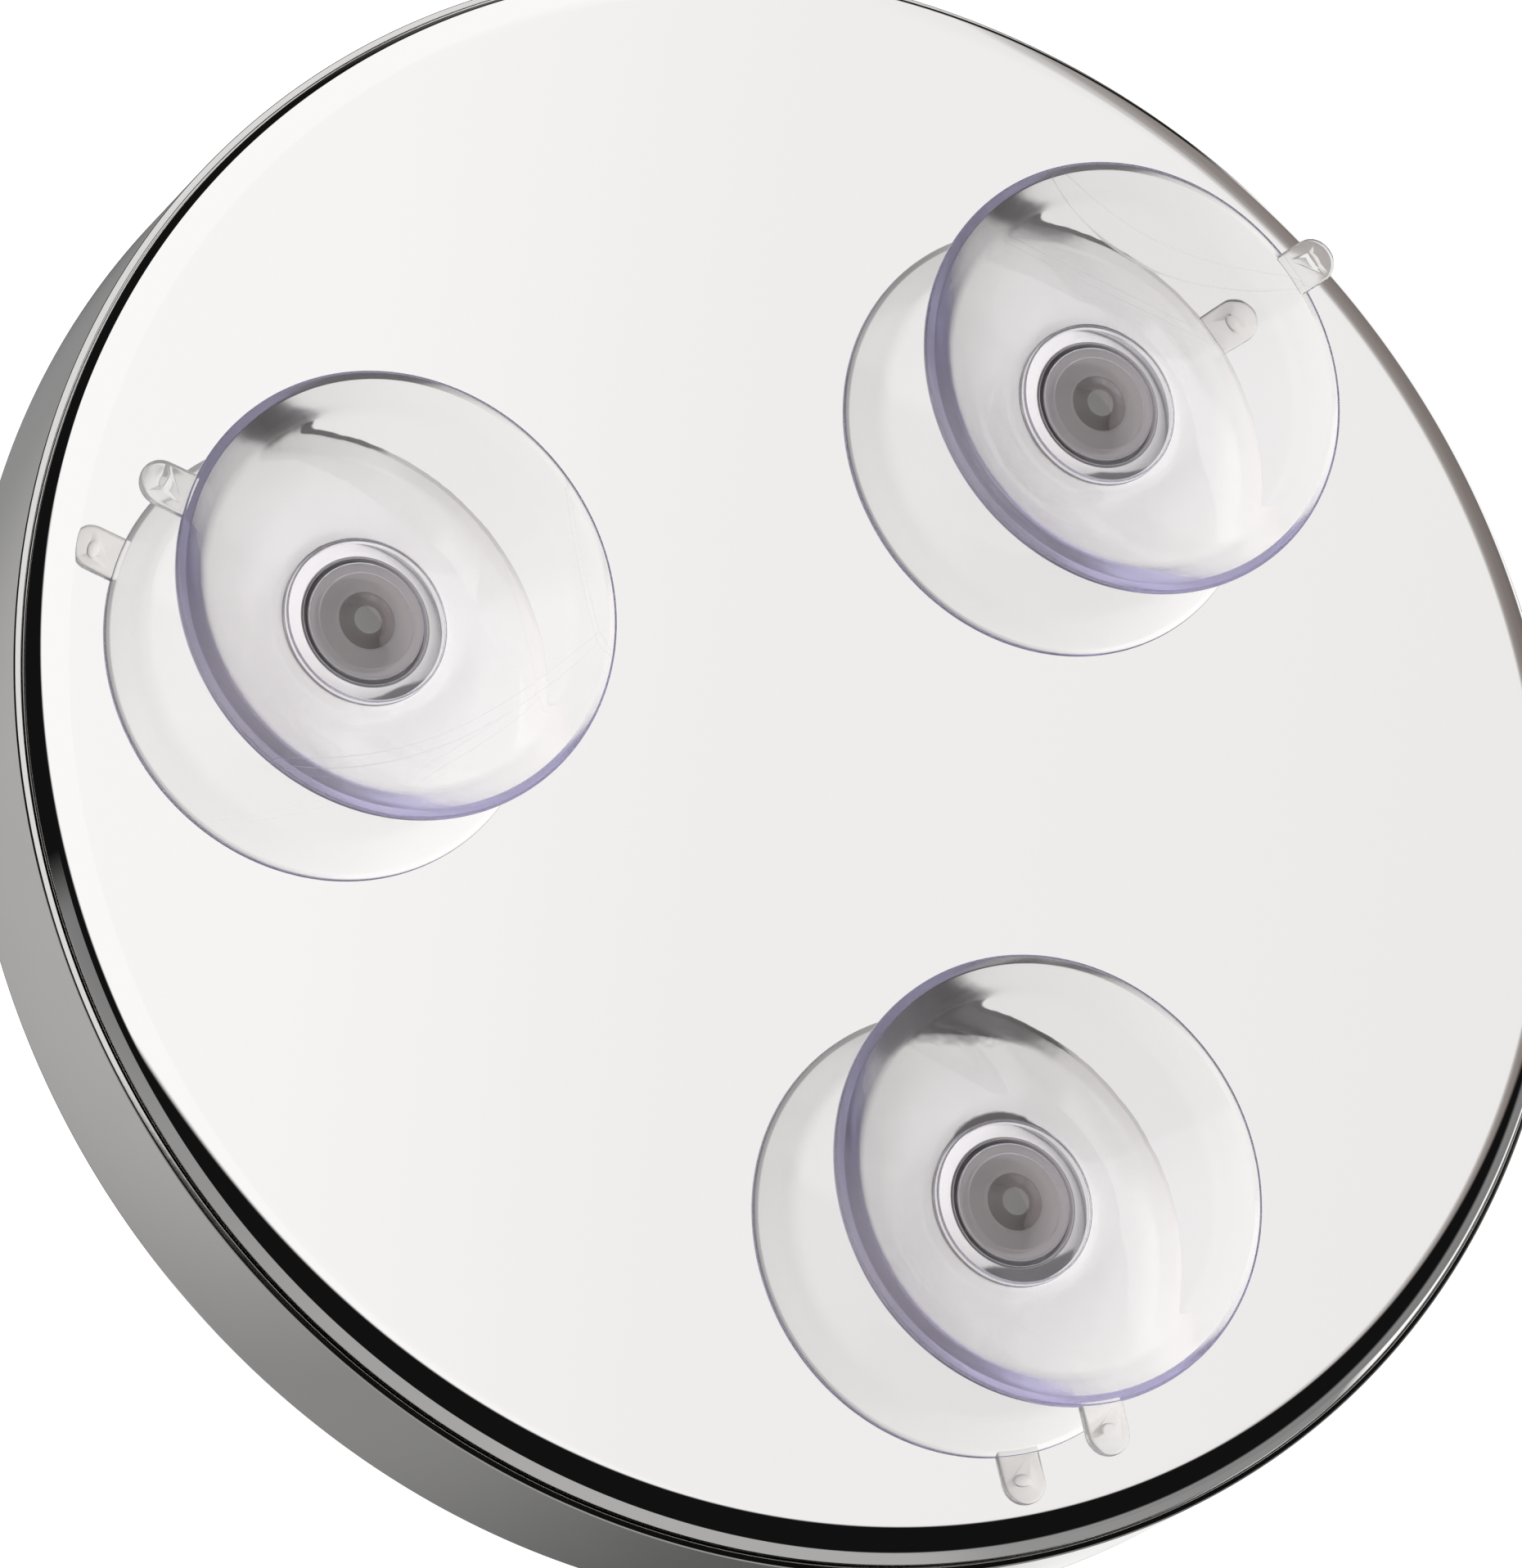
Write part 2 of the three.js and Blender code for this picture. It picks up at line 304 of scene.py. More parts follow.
def chrome_plate_material():
    n = Nodes("polished_chrome_plate")
    shader = n.surface(Base_Color=CHROME, Metallic=1.0)
    n.join(n.ranged(n.noise(60.0), low=0.012, high=0.03), shader.inputs["Roughness"])
    n.bump(n.noise(18.0, detail=1.0), shader, strength=0.06, distance=0.0004)
    return n.material


def chrome_ring_material():
    n = Nodes("chrome_ring")
    shader = n.surface(Base_Color=DULLER_CHROME, Metallic=1.0)
    n.join(n.ranged(n.noise(140.0), low=0.10, high=0.16), shader.inputs["Roughness"])
    n.bump(n.noise(900.0, detail=2.0), shader, strength=0.04, distance=0.0001)
    return n.material


def vinyl_roughness(n):
    """Almost smooth, dull where the faces say so, and scratched along the edges of large cells."""
    between_cells = n.cells(SCRATCH_CELLS, "DISTANCE_TO_EDGE")
    scratched = n.ranged(between_cells, low=SCRATCH_SATIN, high=0.0, from_low=0.0, from_high=SCRATCH_WIDTH)
    uneven = n.ranged(n.noise(220.0), low=0.0, high=0.05)
    worn = n.maths("MAXIMUM", uneven, n.attribute("satin"))
    return n.maths("MAXIMUM", worn, scratched)


def clear_vinyl_material():
    """Clear vinyl, violet and a little hazy in its depth, that lets the lamps through to what is behind."""
    n = Nodes("clear_soft_vinyl")
    shader = n.surface(IOR=1.53, Transmission_Weight=1.0)
    clearness = n.ranged(n.attribute("cloudy"), low=1.0, high=0.0, from_low=0.0, from_high=1.0)
    # The darker tint mixed in here is painted shade in the stem's bore.
    n.join(n.mixed(n.attribute("tint_and_shade"), CLEAR_VINYL, VINYL_TINT_AND_SHADE), shader.inputs["Base Color"])
    n.join(vinyl_roughness(n), shader.inputs["Roughness"])
    n.join(clearness, shader.inputs["Transmission Weight"])
    n.bump(n.noise(160.0), shader, strength=0.10, distance=0.0003)
    clear = n.coloured("ShaderNodeBsdfTransparent", WHITE)
    n.join(n.either(n.ray("Is Shadow Ray"), shader, clear), n.output.inputs["Surface"])
    absorb = n.coloured("ShaderNodeVolumeAbsorption", VINYL_DEPTH, Density=13.0)
    haze = n.coloured("ShaderNodeVolumeScatter", VINYL_HAZE, Density=6.0)
    n.join(n.together(absorb, haze), n.output.inputs["Volume"])
    return n.material


def mirror_material():
    n = Nodes("silvered_glass")
    shader = n.surface(Base_Color=SILVERING, Metallic=1.0, Coat_Weight=1.0, Coat_Roughness=0.02)
    n.join(n.ranged(n.noise(40.0), low=0.0, high=0.012), shader.inputs["Roughness"])
    return n.material


def foam_material():
    n = Nodes("grey_foam")
    shader = n.surface(Roughness=0.92)
    cells = n.cells(FOAM_CELLS, "F1")
    ramp = n.add("ShaderNodeValToRGB")
    ramp.color_ramp.elements[0].color = tuple(c * FOAM_SHADE for c in FOAM) + (1,)
    ramp.color_ramp.elements[1].color = FOAM + (1,)
    n.join(cells, ramp.inputs["Fac"])
    n.join(ramp.outputs["Color"], shader.inputs["Base Color"])
    n.bump(cells, shader, strength=0.5, distance=0.0003)
    return n.material


def plastic_material(name, colour, roughness):
    n = Nodes(name)
    spread = 0.06
    shader = n.surface(Base_Color=colour + (1,))
    n.join(n.ranged(n.noise(300.0), roughness - spread, roughness + spread), shader.inputs["Roughness"])
    n.bump(n.noise(1200.0, detail=4.0), shader, strength=0.12, distance=0.0001)
    return n.material


# Rear plate profile: flat, then a rolled shoulder that turns down faster and faster to the plate's edge
FLAT_RADIUS = 77.8 * MM
FLAT_MARGIN = 0.6 * MM
SHOULDER_TURN = 0.31
SHOULDER_END = 0.167
SHOULDER_END_POWER = 9
SHOULDER_STEPS = 26
STEEP_WIDTH = 0.65 * MM
PLATE_RIM_DROP = 2.3 * MM
PLATE_RIM_THICKNESS = 0.7 * MM
PLATE_THICKNESS = 1.2 * MM
SKIRT_RADIUS = 79.95 * MM
SKIRT_THICKNESS = 1.2 * MM
HOLE_RADIUS = 6.7 * MM
HOLE_BEVEL = 0.15 * MM
DRILL_ABOVE = 1.0 * MM
DRILL_BELOW = 3.0 * MM


def shoulder_drop(radius):
    span = FLANGE_RADIUS - FLAT_RADIUS
    share = (radius - FLAT_RADIUS) / span
    return span * (SHOULDER_TURN * share ** 2 + SHOULDER_END * share ** SHOULDER_END_POWER)


def drill_hole(plate, axis):
    """A hole through the plate, with a bevel at its rear edge."""
    cut = [
        (0, DRILL_ABOVE),
        (HOLE_RADIUS + HOLE_BEVEL + DRILL_ABOVE, DRILL_ABOVE),
        (HOLE_RADIUS, -HOLE_BEVEL),
        (HOLE_RADIUS, -DRILL_BELOW),
        (0, -DRILL_BELOW),
    ]
    drill = turned_mesh("drill", cut, HOLE_STEPS, (axis.x, PLATE_Y, axis.z), closed=False)
    apply_boolean(plate, drill, "DIFFERENCE")


def rear_plate_shell():
    """Its flat has a ring of vertices just inside the shoulder, which keeps the shading there even."""
    under = PLATE_RIM_DROP + PLATE_RIM_THICKNESS
    skirt_end = PLATE_Y - SKIRT_END_Y
    skirt_inner = SKIRT_RADIUS - SKIRT_THICKNESS
    radii = np.linspace(FLAT_RADIUS, FLANGE_RADIUS - STEEP_WIDTH, SHOULDER_STEPS)
    corners = [(0, 0, 0), (FLAT_RADIUS - FLAT_MARGIN, 0, 0)]
    corners += curve_points(radii[:-1], lambda r: -shoulder_drop(r))
    corners += [
        (radii[-1], -shoulder_drop(radii[-1]), 0.1 * MM),
        (FLANGE_RADIUS, -PLATE_RIM_DROP, 0.08 * MM),
        (FLANGE_RADIUS, -under, 0.1 * MM),
        (SKIRT_RADIUS, -under, 0.1 * MM),
        (SKIRT_RADIUS, -skirt_end, 0.2 * MM),
        (skirt_inner, -skirt_end, 0.2 * MM),
        (skirt_inner, -under, 0.3 * MM),
        (FLAT_RADIUS - PLATE_THICKNESS, -PLATE_THICKNESS, 0.5 * MM),
        (0, -PLATE_THICKNESS, 0),
    ]
    points = rounded(corners, steps=8)
    plate = turned_mesh("rear_plate_shell", points, WIDE_STEPS, (0, PLATE_Y, 0), closed=False)
    for axis in CUP_AXES:
        drill_hole(plate, axis)
    smooth(plate, sharp_degrees=24)
    plate.data.materials.append(chrome_plate_material())
    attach(plate, "housing")
    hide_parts("rear_plate")


# Housing ring profile
EDGE_DROP = 2.9 * MM
EDGE_SLOPE = 0.2 * MM
EDGE_WIDTH = 0.65 * MM
FRONT_RADIUS = 82.0 * MM
RING_WALL = 1.8 * MM
LIP_WIDTH = 5.0 * MM
LIP_THICKNESS = 1.2 * MM
SEAT_GAP = 0.3 * MM


def housing_ring_shell():
    edge_inner = RIM_RADIUS - EDGE_WIDTH
    ledge = PLATE_RIM_DROP + PLATE_RIM_THICKNESS + SEAT_GAP
    inner = FRONT_RADIUS - RING_WALL
    lip_inner = FRONT_RADIUS - LIP_WIDTH
    start = (edge_inner, -(EDGE_DROP + ledge) / 2, 0)
    corners = [
        start,
        (edge_inner, -EDGE_DROP, 0.1 * MM),
        (RIM_RADIUS, -EDGE_DROP - EDGE_SLOPE, 0.22 * MM),
        (FRONT_RADIUS, -DEPTH, 1.0 * MM),
        (lip_inner, -DEPTH, 0.4 * MM),
        (lip_inner, -DEPTH + LIP_THICKNESS, 0.15 * MM),
        (inner, -DEPTH + LIP_THICKNESS, 0.15 * MM),
        (inner, -ledge, 0.15 * MM),
        (edge_inner, -ledge, 0.1 * MM),
        start,
    ]
    points = rounded(corners, steps=8)[:-1]
    ring = turned_mesh("housing_ring_shell", points, WIDE_STEPS, (0, PLATE_Y, 0))
    smooth(ring, sharp_degrees=30)
    ring.data.materials.append(chrome_ring_material())
    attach(ring, "housing")
    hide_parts("housing_ring")


# Mirror glass and the pieces behind it
CURVE_RADIUS = 750.0 * MM
GLASS_THICKNESS = 3.0 * MM
GLASS_BEVEL = 0.4 * MM
SHEET_THICKNESS = 1.0 * MM
SHEET_ROUNDING = 0.3 * MM
GASKET_WIDTH = 5.0 * MM
GASKET_ROUNDING = 0.3 * MM
PAD_ROUNDING = 0.8 * MM
DISH_STEPS = 24


def sag(radius):
    return CURVE_RADIUS - math.sqrt(CURVE_RADIUS ** 2 - radius ** 2)


def glass_front(radius):
    return GLASS_EDGE_Y + sag(GLASS_RADIUS) - sag(radius)


def behind_glass(radius):
    """Where the pieces that lie on the back of the glass begin."""
    return glass_front(radius) + GLASS_THICKNESS + SEAT_GAP


def dished(name, radius, front_at, thickness, edge_cut):
    """A round sheet that follows the hollow of the mirror."""
    radii = np.linspace(0, radius, DISH_STEPS)
    corners = curve_points(radii[:-1], front_at)
    corners += [(radius, front_at(radius), edge_cut), (radius, front_at(radius) + thickness, edge_cut)]
    corners += curve_points(radii[-2::-1], lambda r: front_at(r) + thickness)
    obj = turned_mesh(name, rounded(corners, steps=4), GLASS_STEPS, closed=False)
    smooth(obj)
    return obj


def mirror_glass_pane():
    pane = dished("mirror_glass_pane", GLASS_RADIUS, glass_front, GLASS_THICKNESS, GLASS_BEVEL)
    pane.data.materials.append(mirror_material())
    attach(pane, "housing")
    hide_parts("mirror_glass")


def backing_sheet_skin():
    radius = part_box("backing_sheet")[1].x
    sheet = dished("backing_sheet_skin", radius, behind_glass, SHEET_THICKNESS, SHEET_ROUNDING)
    sheet.data.materials.append(plastic_material("pale_backing_sheet", PALE_SHEET, roughness=0.75))
    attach(sheet, "housing")
    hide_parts("backing_sheet")


def foam_pad(node, material):
    """A round block whose front follows the backing sheet."""
    low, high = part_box(node)
    centre = (low + high) / 2
    radius = (high.x - low.x) / 2
    corners = [(0, high.y, 0), (radius, high.y, PAD_ROUNDING), (radius, low.y, PAD_ROUNDING), (0, low.y, 0)]
    points = rounded(corners, steps=5)
    pad = turned_mesh(node + "_block", points, PAD_STEPS, (centre.x, 0, centre.z), closed=False)
    for vertex in pad.data.vertices:
        reach = math.hypot(vertex.co.x, vertex.co.z)
        vertex.co.y = max(vertex.co.y, behind_glass(reach) + SHEET_THICKNESS + SEAT_GAP)
    smooth(pad)
    pad.data.materials.append(material)
    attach(pad, "housing")
    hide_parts(node)


def gasket(material):
    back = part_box("glass_gasket")[1].y
    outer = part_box("glass_gasket")[1].x
    inner = outer - GASKET_WIDTH
    start = ((inner + outer) / 2, back, 0)
    corners = [
        start,
        (inner, back, GASKET_ROUNDING),
        (inner, behind_glass(inner), GASKET_ROUNDING),
        (outer, behind_glass(outer), GASKET_ROUNDING),
        (outer, back, GASKET_ROUNDING),
        start,
    ]
    ring = turned_mesh("glass_gasket_ring", rounded(corners, steps=4)[:-1], GLASS_STEPS)
    smooth(ring)
    ring.data.materials.append(material)
    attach(ring, "housing")
    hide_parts("glass_gasket")


def spacer_material():
    """The spacer ring keeps its CAD mesh and gets a better material."""
    spacer = frame["nodes"]["spacer_ring"]
    spacer.data.materials.clear()
    spacer.data.materials.append(plastic_material("white_moulded_plastic", WHITE_PLASTIC, roughness=0.45))


def inner_pieces():
    backing_sheet_skin()
    grey_foam = foam_material()
    for node in ("foam_pad_1", "foam_pad_2", "foam_pad_3"):
        foam_pad(node, grey_foam)
    gasket(grey_foam)
    spacer_material()


# Suction cup from its lip to the head behind the plate, with heights above the plate's face
CUP_RADIUS = 22.5 * MM
LIP_LAND = 0.95 * MM
LIP_EDGE = 0.7 * MM
HOLLOW_FLOOR = 3.2 * MM
HOLLOW_FLAT_RADIUS = 5.3 * MM
HOLLOW_CONE_RADIUS = 10.3 * MM
HOLLOW_BEND_STEPS = 16
HOLLOW_CONE_STEPS = 14
BEVEL_RADIUS = 19.4 * MM
BEVEL_HEIGHT = 7.15 * MM
FOOT_RADIUS = 9.3 * MM
FOOT_HEIGHT = 1.2 * MM
SKIRT_BULGE = 0.2 * MM
SKIRT_STEPS = 14
COLLAR_RADIUS = 8.5 * MM
COLLAR_HEIGHT = 0.8 * MM
PLATE_PLAY = 0.25 * MM
NECK_RADIUS = 6.5 * MM
HEAD_RADIUS = 7.9 * MM
HEAD_SIDE = 1.5 * MM
HEAD_END_RADIUS = 6.3 * MM
HEAD_LENGTH = 4.4 * MM

# Bore of the stem from the head's end inwards: a wider pocket, a small step and a dimple
BORE_RADIUS = 4.9 * MM
POCKET_START = -0.7 * MM
POCKET_SHOULDER = -0.4 * MM
POCKET_RADIUS = 6.0 * MM
POCKET_END = 1.0 * MM
STEP_RADIUS = 4.95 * MM
STEP_END_RADIUS = 4.8 * MM
STEP_END = 1.12 * MM
DIMPLE_RADIUS = 3.0 * MM
DIMPLE_END_RADIUS = 1.75 * MM
DIMPLE_END = 1.6 * MM

# Pull tabs, turned about their cups' axes by these degrees. Their raised oval is a round mark, stretched.
TAB_TURNS = [101.8, 225.8, 339.6]
TAB_WIDTH = 4.6 * MM
TAB_LENGTH = 5.0 * MM
TAB_ROOT = 0.7 * MM
TAB_THICKNESS = 0.9 * MM
TAB_SINK = 0.2 * MM
TAB_EDGE = 0.3 * MM
TAB_EDGE_STEPS = 5
TAB_END_START = 0.1
TAB_END_STEPS = 22
MARK_PROFILE = [(0, 0.16), (0.5, 0.14), (0.8, 0.06), (0.95, -0.05), (0, -0.05)]
MARK_STRETCH = (0.75, 1, 1.15, 1)
MARK_PLACE = 2.5 * MM


def hollow_height(radius):
    """Flat in the middle, bent over a short way, then a cone up to the lip."""
    land_inner = CUP_RADIUS - LIP_LAND
    bend = HOLLOW_CONE_RADIUS - HOLLOW_FLAT_RADIUS
    rise = (STANDOFF - HOLLOW_FLOOR) / (land_inner - HOLLOW_FLAT_RADIUS - bend / 2)
    if radius < HOLLOW_FLAT_RADIUS:
        return HOLLOW_FLOOR
    if radius > HOLLOW_CONE_RADIUS:
        return STANDOFF - rise * (land_inner - radius)
    return HOLLOW_FLOOR + rise * (radius - HOLLOW_FLAT_RADIUS) ** 2 / (2 * bend)


def hollow_and_lip_corners():
    land_inner = CUP_RADIUS - LIP_LAND
    radii = [0] + list(np.linspace(HOLLOW_FLAT_RADIUS, HOLLOW_CONE_RADIUS, HOLLOW_BEND_STEPS))
    radii += list(np.linspace(HOLLOW_CONE_RADIUS, land_inner, HOLLOW_CONE_STEPS))[1:-1]
    return curve_points(radii, hollow_height) + [
        (land_inner, STANDOFF, 0.1 * MM),
        (CUP_RADIUS, STANDOFF, 0.3 * MM),
        (CUP_RADIUS, STANDOFF - LIP_EDGE, 0.25 * MM),
    ]


def skirt_corners():
    """The skirt's outside from the bevel under the lip to its foot, which bulges a little between them."""
    bevel = np.array([BEVEL_RADIUS, BEVEL_HEIGHT])
    foot = np.array([FOOT_RADIUS, FOOT_HEIGHT])
    corners = [(BEVEL_RADIUS, BEVEL_HEIGHT, 0.7 * MM)]
    for share in np.linspace(0, 1, SKIRT_STEPS)[1:-1]:
        r, h = bevel + (foot - bevel) * share
        corners.append((r, h - SKIRT_BULGE * 4 * share * (1 - share), 0))
    return corners + [(FOOT_RADIUS, FOOT_HEIGHT, 0.35 * MM)]


def stem_corners():
    """Collar before the plate, neck through it and head behind it."""
    head_back = -PLATE_THICKNESS - PLATE_PLAY
    return [
        (COLLAR_RADIUS, COLLAR_HEIGHT, 0.2 * MM),
        (COLLAR_RADIUS, PLATE_PLAY, 0.12 * MM),
        (NECK_RADIUS, PLATE_PLAY, 0.1 * MM),
        (NECK_RADIUS, head_back, 0.1 * MM),
        (HEAD_RADIUS, head_back, 0.3 * MM),
        (HEAD_RADIUS, head_back - HEAD_SIDE, 0.5 * MM),
        (HEAD_END_RADIUS, head_back - HEAD_LENGTH, 0.4 * MM),
        (BORE_RADIUS, head_back - HEAD_LENGTH, 0.3 * MM),
    ]


def bore_corners():
    return [
        (BORE_RADIUS, POCKET_START, 0.15 * MM),
        (POCKET_RADIUS, POCKET_SHOULDER, 0.2 * MM),
        (POCKET_RADIUS, POCKET_END, 0.4 * MM),
        (STEP_RADIUS, POCKET_END, 0.08 * MM),
        (STEP_END_RADIUS, STEP_END, 0.08 * MM),
        (DIMPLE_RADIUS, STEP_END, 0.35 * MM),
        (DIMPLE_END_RADIUS, DIMPLE_END, 0.35 * MM),
        (0, DIMPLE_END, 0),
    ]


def tab_edge_levels():
    """The tab's edge as (inset, height above its middle) from one face to the other, rounded at both."""
    levels = []
    for a in np.linspace(math.pi / 2, 0, TAB_EDGE_STEPS):
        levels.append((TAB_EDGE * (1 - math.cos(a)), TAB_THICKNESS / 2 - TAB_EDGE * (1 - math.sin(a))))
    return levels + [(inset, -height) for inset, height in levels[::-1]]


def tab_outline(root, end, reach):
    """Points (x, z) round a tongue along +X with a round end."""
    turns = np.linspace(TAB_END_START, math.pi - TAB_END_START, TAB_END_STEPS)
    round_end = [(end + reach * math.sin(a), -reach * math.cos(a)) for a in turns]
    return [(root, -reach), (end, -reach)] + round_end + [(end, reach), (root, reach)]


def pull_tab(name):
    """A flat tongue with rounded edges and a plain raised oval, its root inside the lip."""
    half = TAB_WIDTH / 2
    root = CUP_RADIUS - TAB_ROOT
    end = CUP_RADIUS + TAB_LENGTH - half
    middle = STANDOFF - TAB_SINK - TAB_THICKNESS / 2
    levels = tab_edge_levels()
    verts = []
    for inset, height in levels:
        outline = tab_outline(root, end, half - inset)
        verts += [(x, middle + height, z) for x, z in outline]
    count = len(outline)
    faces = [list(range(count)), list(range(len(verts) - 1, len(verts) - count - 1, -1))]
    for row in range(len(levels) - 1):
        a = row * count
        for i in range(count):
            n = (i + 1) % count
            faces.append([a + i, a + i + count, a + n + count, a + n])
    tab = link_mesh(name, verts, faces)
    face_outward(tab.data)
    mark = turned_mesh("mark", [(r * MM, h * MM) for r, h in MARK_PROFILE], MARK_STEPS, closed=False)
    place = Matrix.Translation((CUP_RADIUS + MARK_PLACE, middle + TAB_THICKNESS / 2, 0))
    mark.data.transform(place @ Matrix.Diagonal(MARK_STRETCH))
    apply_boolean(tab, mark, "UNION")
    return tab


# How dull, how cloudy and how darkly tinted the faces of each zone of a cup are. In the stem's bore the dark
# tint is painted shade of the hole's depth: darkest in a ring, lighter in the middle and towards the edge.
NO_WEAR = (0.0, 0.0, 0.0)
LIP_WEAR = (0.14, 0.0, 0.0)
TAB_WEAR = (0.10, 0.15, 0.10)
COLLAR_WEAR = (0.08, 0.04, 0.0)
WALL_WEAR = (0.16, 0.72, 0.36)
# The bore's darker tint is painted shade of the hole's depth.
BORE_EDGE_WEAR_AND_SHADE = (0.12, 0.42, 0.48)
BORE_WEAR_AND_SHADE = (0.10, 0.34, 0.56)
BORE_RING_WEAR_AND_SHADE = (0.10, 0.10, 0.95)
BORE_MIDDLE_WEAR_AND_SHADE = (0.12, 0.30, 0.50)

# Where the zones end: a little off the edges of the shapes, or at a place of their own
ZONE_MARGIN = 0.1 * MM
STEM_TOP = 2.0 * MM
BORE_MIDDLE_RADIUS = 1.3 * MM


def face_wear_and_shade(reach, height):
    """Wear, darker tint and painted shade of a face at that distance from the cup's axis and that height
    above the plate.
    """
    if reach > CUP_RADIUS + 2 * ZONE_MARGIN:
        return TAB_WEAR
    if reach > BEVEL_RADIUS - ZONE_MARGIN and height < STANDOFF - LIP_EDGE:
        return LIP_WEAR
    if reach > COLLAR_RADIUS + ZONE_MARGIN or height > STEM_TOP:
        return NO_WEAR
    if height < COLLAR_HEIGHT:
        return WALL_WEAR if reach < NECK_RADIUS + ZONE_MARGIN else COLLAR_WEAR
    if reach < BORE_MIDDLE_RADIUS:
        return BORE_MIDDLE_WEAR_AND_SHADE
    if reach < DIMPLE_RADIUS - ZONE_MARGIN:
        return BORE_RING_WEAR_AND_SHADE
    return BORE_WEAR_AND_SHADE if reach < STEP_END_RADIUS else BORE_EDGE_WEAR_AND_SHADE


def mark_worn_and_shaded_faces(cup):
    """The bevel under the lip, the tab and the stem are less polished, and the stem is cloudy and tinted
    darker, which in its bore is painted shade.
    """
    wear = [face_wear_and_shade(math.hypot(face.center.x, face.center.z), face.center.y) for face in cup.data.polygons]
    for i, name in enumerate(("satin", "cloudy", "tint_and_shade")):
        layer = cup.data.attributes.new(name, "FLOAT", "FACE")
        layer.data.foreach_set("value", [values[i] for values in wear])


def suction_cups():
    vinyl = clear_vinyl_material()
    points = rounded(hollow_and_lip_corners() + skirt_corners() + stem_corners() + bore_corners(), steps=6)
    for i, (body, axis, turn) in enumerate(zip(CUP_BODIES, CUP_AXES, TAB_TURNS)):
        cup = turned_mesh(f"suction_cup_{i + 1}_clear", points, CUP_STEPS, closed=False)
        apply_boolean(cup, pull_tab("tab"), "UNION")
        mark_worn_and_shaded_faces(cup)
        place = Matrix.Translation((axis.x, PLATE_Y, axis.z)) @ Matrix.Rotation(-math.radians(turn), 4, "Y")
        cup.data.transform(place)
        smooth(cup, sharp_degrees=40)
        cup.data.materials.clear()
        cup.data.materials.append(vinyl)
        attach(cup, body)
        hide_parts(f"suction_cup_{i + 1}")


# Camera, fitted to the photograph: where it aims, from where, and how it is rolled
CAMERA_AIM = Vector((5.56 * MM, PLATE_Y, 5.92 * MM))
CAMERA_DISTANCE = 1113.3 * MM
CAMERA_AZIMUTH = 157.705
CAMERA_ELEVATION = 19.12
CAMERA_ROLL = 75.745
FOCAL_PIXELS = 14000
PICTURE_LONG_SIDE = 1916
SENSOR = 36.0
NEAREST_SEEN = 0.01
FARTHEST_SEEN = 20.0


def camera_back():
    """Direction from what the camera aims at to the camera."""
    azimuth = math.radians(CAMERA_AZIMUTH)
    elevation = math.radians(CAMERA_ELEVATION)
    level = math.cos(elevation)
    return Vector((math.sin(azimuth) * level, -math.cos(azimuth) * level, math.sin(elevation)))


def make_camera():
    data = bpy.data.cameras.new("camera")
    data.sensor_width = SENSOR
    data.lens = FOCAL_PIXELS / PICTURE_LONG_SIDE * SENSOR
    data.clip_start = NEAREST_SEEN
    data.clip_end = FARTHEST_SEEN
    camera = bpy.data.objects.new("camera", data)
    bpy.context.scene.collection.objects.link(camera)
    back = camera_back()
    upright = (-back).to_track_quat("-Z", "Y").to_matrix().to_4x4()
    roll = Matrix.Rotation(-math.radians(CAMERA_ROLL), 4, "Z")
    camera.matrix_world = Matrix.Translation(CAMERA_AIM + back * CAMERA_DISTANCE) @ upright @ roll
    bpy.context.scene.camera = camera


# Studio: what metal and glass see in each direction. LEFT and HIGH lie in the plate's plane.
LEFT = (0.116, 0.0, 0.993)
HIGH = (-0.970, 0.0, 0.243)
OUTWARD = (0.0, 1.0, 0.0)
UPWARD = (0.0, 0.0, 1.0)
SOFT_LEVEL = 0.85
DARK_LEVEL = 0.006

# Paths of light are counted in whole bounces, so each of these limits lies between two counts
DIFFUSED_DEPTH = 0.5
PASSED_DEPTH = 1.5
FLAG_DEPTH = 2.5

# Each list from here on holds (place, level) stops. Its places are a direction's shares of LEFT, HIGH,
# OUTWARD or UPWARD. Where there is a slant, a part of a second share is added.

# Large soft light that metal shows. It reaches lower for light that has crossed two surfaces of vinyl.
METAL_LEFT = [
    (-0.90, 0.16), (-0.75, 0.21), (-0.60, 0.27), (-0.54, 0.36), (-0.50, 0.58),
    (-0.46, 0.86), (-0.37, 0.90), (-0.32, 0.965), (-0.26, 1.0),
]
METAL_SLANT = 0.15
METAL_HIGH = [(-0.03, 0.0), (0.03, 1.0)]
PASSED_HIGH = [(-0.40, 0.0), (-0.20, 0.62), (0.03, 1.0)]
METAL_FAR_SLANT = -0.35
METAL_FAR_LEFT = [(0.42, 1.0), (0.52, 0.0)]
METAL_LOW = [(-0.02, 0.0), (0.12, 1.0)]
WARM_LEFT = [(-0.66, 1.0), (-0.44, 0.0)]
WARM = (1.0, 0.885, 0.825, 1.0)

# Pale table that metal shows below the light. TABLE_TOP gives its top edge's outward share as the level,
# and the places of TABLE_EDGE are outward shares below that edge.
TABLE_LEFT = [
    (-1.0, 0.21), (-0.85, 0.24), (-0.65, 0.30), (-0.50, 0.42),
    (0.0, 0.43), (0.50, 0.37), (0.80, 0.30), (1.0, 0.18),
]
TABLE_TOP = [(0.30, 0.50), (0.80, 0.30), (1.0, -0.12)]
TABLE_EDGE = [(-0.06, 0.0), (0.06, 1.0)]
TABLE_SIDE = [(-0.02, 1.0), (0.12, 0.0)]

